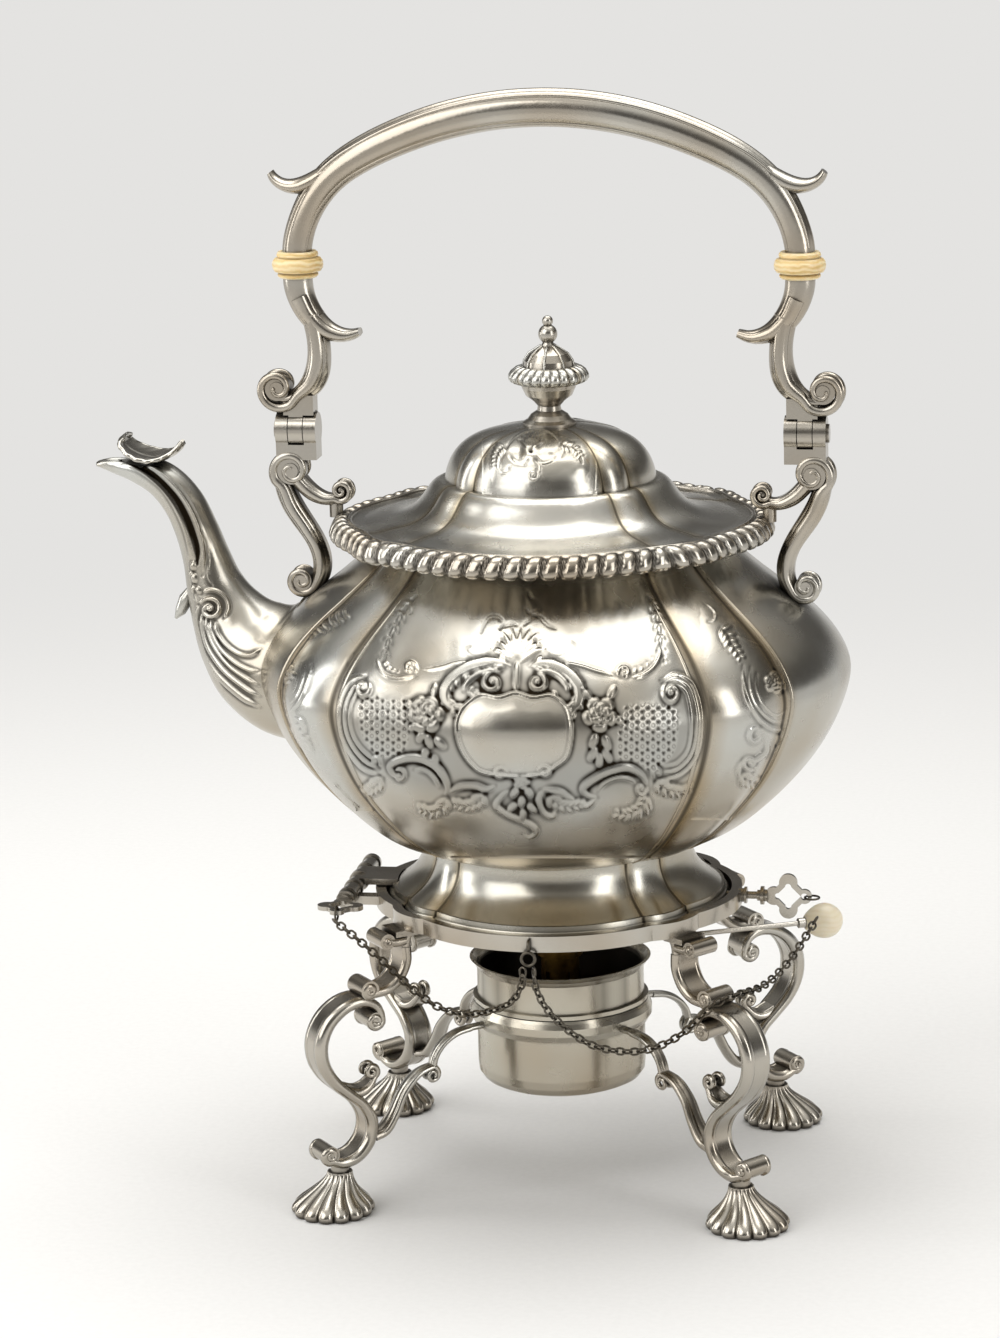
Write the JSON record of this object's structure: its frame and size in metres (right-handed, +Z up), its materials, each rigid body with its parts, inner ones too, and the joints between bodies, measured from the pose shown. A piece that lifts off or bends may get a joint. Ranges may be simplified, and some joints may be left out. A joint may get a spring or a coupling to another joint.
{
  "type": "spirit kettle on stand",
  "caption": "Lobed silver spirit kettle with swinging bail handle and hinged lid, tilting on a scroll-legged stand with chained pins and a spirit lamp.",
  "frame": {"origin": "middle of the footprint's bounding box on the table; the stand's own axis is 28.5 mm towards +X, because the spout reaches further on its side", "axes": "+Z up, spout to -X, front with the two chains to -Y"},
  "size_m": [0.2621, 0.2052, 0.3819],
  "materials": {
    "silver_body": "polished sterling silver with warm tarnish in the recesses",
    "silver_cast": "polished sterling silver with warm tarnish in the recesses",
    "silver_lid": "polished sterling silver with warm tarnish in the recesses",
    "silver_chain": "polished sterling silver with warm tarnish in the recesses",
    "brass_works": "dull brass, smoke-darkened",
    "ivory": "polished ivory-coloured insulating ring and knob",
    "cotton": "plaited cotton"
  },
  "bodies": {
    "stand": {"stand_ring": "silver_cast", "lock_socket": "silver_cast", "stand_hinge": "silver_cast", "lamp_ring": "silver_cast", "chain_hook": "silver_chain", "chain_left": "silver_chain", "chain_right": "silver_chain", "leg_front_left": "silver_cast", "leg_front_right": "silver_cast", "leg_back_left": "silver_cast", "leg_back_right": "silver_cast", "foot_front_left": "silver_cast", "foot_front_right": "silver_cast", "foot_back_left": "silver_cast", "foot_back_right": "silver_cast", "strut_front_left": "silver_cast", "strut_front_right": "silver_cast", "strut_back_left": "silver_cast", "strut_back_right": "silver_cast"},
    "kettle": {"kettle_body": "silver_body", "kettle_foot": "silver_body", "gadroon_rim": "silver_cast", "spout": "silver_body", "spout_lip": "silver_cast", "bracket_right": "silver_cast", "bracket_left": "silver_cast", "handle_hinge_pins": "silver_cast", "kettle_hinge": "silver_cast", "lid_hinge_base": "silver_cast", "lid_hinge_pin": "silver_cast"},
    "lid": {"lid": "silver_lid", "lid_hinge_leaf": "silver_cast", "finial": "silver_cast", "finial_nut": "brass_works"},
    "handle": {"handle_grip": "silver_cast", "insulator_right": "ivory", "insulator_left": "ivory", "handle_arm_right": "silver_cast", "handle_arm_left": "silver_cast"},
    "lock_pin": {"lock_pin": "silver_cast", "lock_pin_ring": "silver_chain"},
    "hinge_pin": {"hinge_pin": "silver_cast", "hinge_pin_ring": "silver_chain"},
    "lamp": {"lamp_cup": "silver_body", "lamp_cover": "brass_works", "wick_tube": "brass_works", "wick": "cotton"},
    "regulator": {"regulator_sleeve": "brass_works", "lever_rod": "silver_cast", "lever_knob": "ivory"}
  },
  "joints": [
    {"name": "kettle_tilt", "type": "hinge", "parent": "stand", "child": "kettle", "pos_m": [-0.0425, 0, 0.1034], "axis": [0, -1, 0], "range_deg": [0, 50]},
    {"name": "handle_swing", "type": "hinge", "parent": "kettle", "child": "handle", "pos_m": [0.0285, 0, 0.2647], "axis": [1, 0, 0], "range_deg": [-88, 88]},
    {"name": "lid_hinge", "type": "hinge", "parent": "kettle", "child": "lid", "pos_m": [0.0285, 0.073, 0.2386], "axis": [-1, 0, 0], "range_deg": [0, 95]},
    {"name": "lock_pin_pull", "type": "slide", "parent": "stand", "child": "lock_pin", "axis": [1, 0, 0], "range_m": [0, 0.018], "deforming": ["chain_right"]},
    {"name": "hinge_pin_pull", "type": "slide", "parent": "stand", "child": "hinge_pin", "axis": [0, -1, 0], "range_m": [0, 0.05], "deforming": ["chain_left"]},
    {"name": "lamp_lift", "type": "slide", "parent": "stand", "child": "lamp", "axis": [0, 0, 1], "range_m": [0, 0.014]},
    {"name": "regulator_turn", "type": "hinge", "parent": "lamp", "child": "regulator", "pos_m": [0.0285, 0, 0.08], "axis": [0, 0, 1], "range_deg": [-38, 3]}
  ]
}
